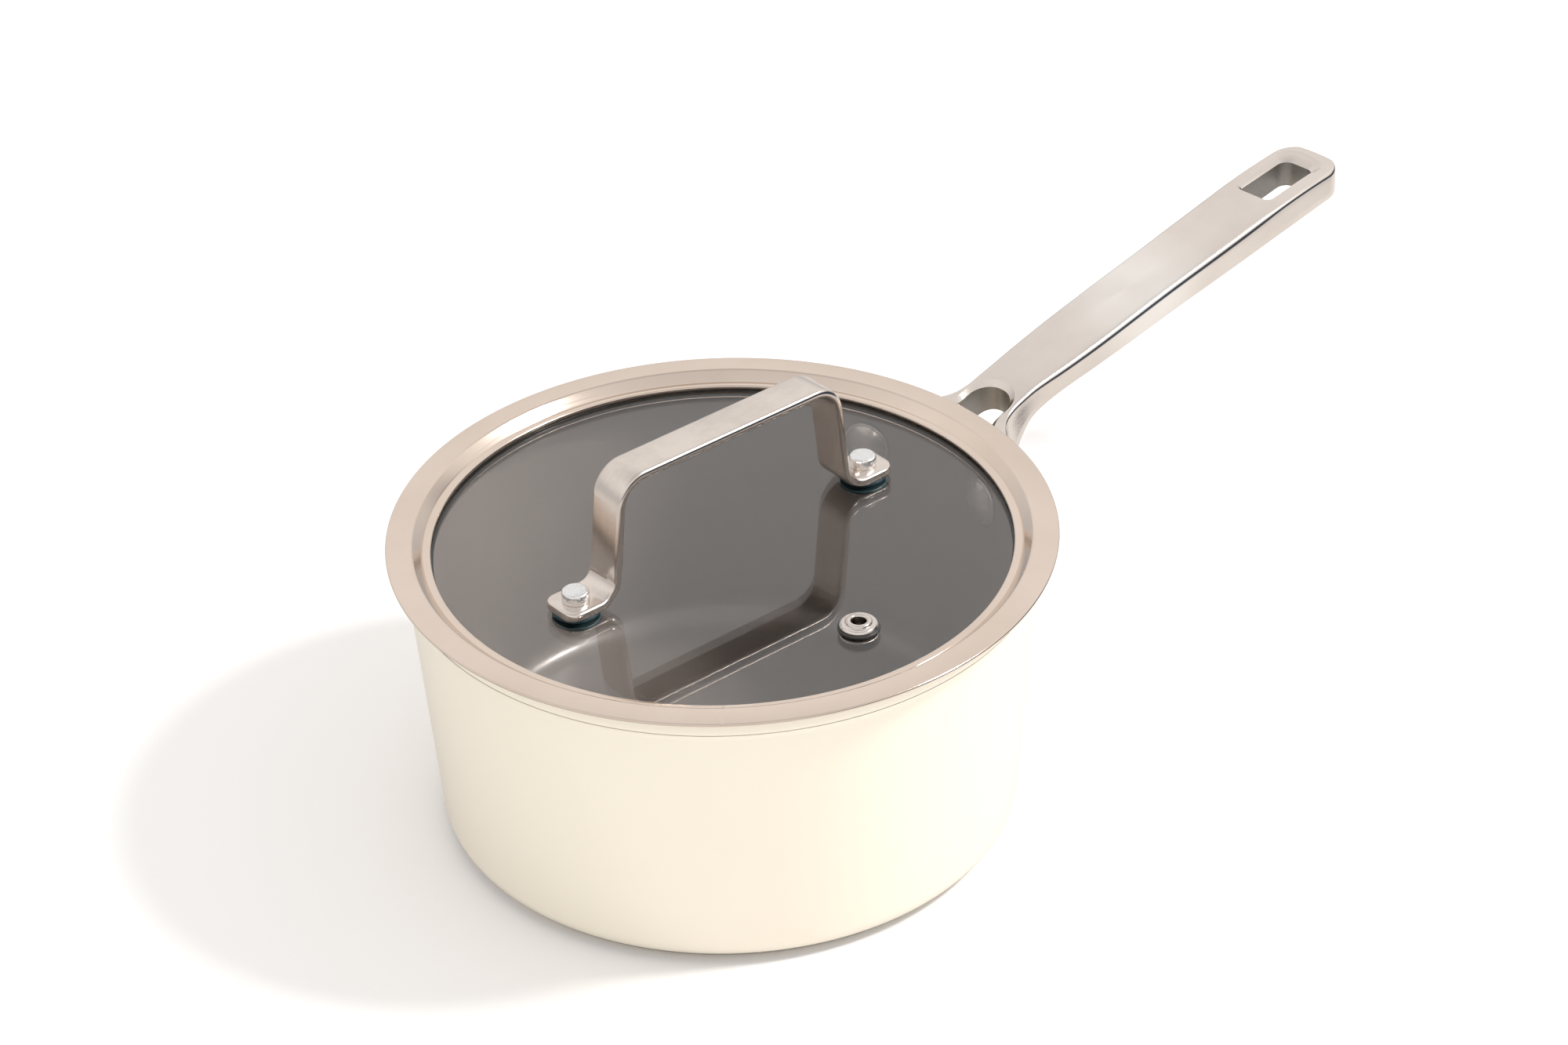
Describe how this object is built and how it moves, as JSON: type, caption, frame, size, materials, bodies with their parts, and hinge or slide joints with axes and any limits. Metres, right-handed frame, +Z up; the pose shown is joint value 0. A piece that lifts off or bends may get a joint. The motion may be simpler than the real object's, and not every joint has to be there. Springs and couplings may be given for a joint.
{
  "type": "saucepan with glass lid",
  "caption": "Saucepan with a forked cast-steel handle riveted to a coated pot, and a flat rimmed glass lid with a strap handle and a steam vent.",
  "frame": {"origin": "the pan's axis at the underside of the base disc, on the table", "axes": "+Z up along the pan's axis, +X from the axis along the pan handle, +Y to the left of the handle"},
  "size_m": [0.4035, 0.214, 0.1407],
  "materials": {
    "coated_pot": "satin ceramic coat, cream outside and warm grey inside",
    "base_steel": "spun satin",
    "cast_steel": "satin top with polished edges",
    "coated_rivet": "same grey coat as the pot's inside",
    "clear_glass": "clear tempered",
    "rim_steel": "fine satin, polished by forming",
    "seal_silicone": "matte",
    "strap_steel": "satin faces with polished edges",
    "rivet_aluminium": "bright, hammered on top",
    "teal_silicone": "matte",
    "washer_steel": "stamped satin",
    "eyelet_steel": "polished",
    "vent_silicone": "matte"
  },
  "bodies": {
    "pan": {"pan_body": "coated_pot", "base_plate": "base_steel", "pan_handle": "cast_steel", "handle_rivet_left": "coated_rivet", "handle_rivet_right": "coated_rivet"},
    "lid": {"lid_glass": "clear_glass", "lid_rim": "rim_steel", "glass_gasket": "seal_silicone", "lid_handle": "strap_steel", "lid_rivet_front": "rivet_aluminium", "upper_washer_front": "teal_silicone", "lower_washer_front": "teal_silicone", "backing_washer_front": "washer_steel", "lid_rivet_back": "rivet_aluminium", "upper_washer_back": "teal_silicone", "lower_washer_back": "teal_silicone", "backing_washer_back": "washer_steel", "vent_eyelet": "eyelet_steel", "vent_gasket": "vent_silicone", "vent_washer": "washer_steel"}
  },
  "joints": [
    {"name": "lid_lift", "type": "slide", "parent": "pan", "child": "lid", "axis": [0, 0, 1], "range_m": [0, 0.15]}
  ]
}
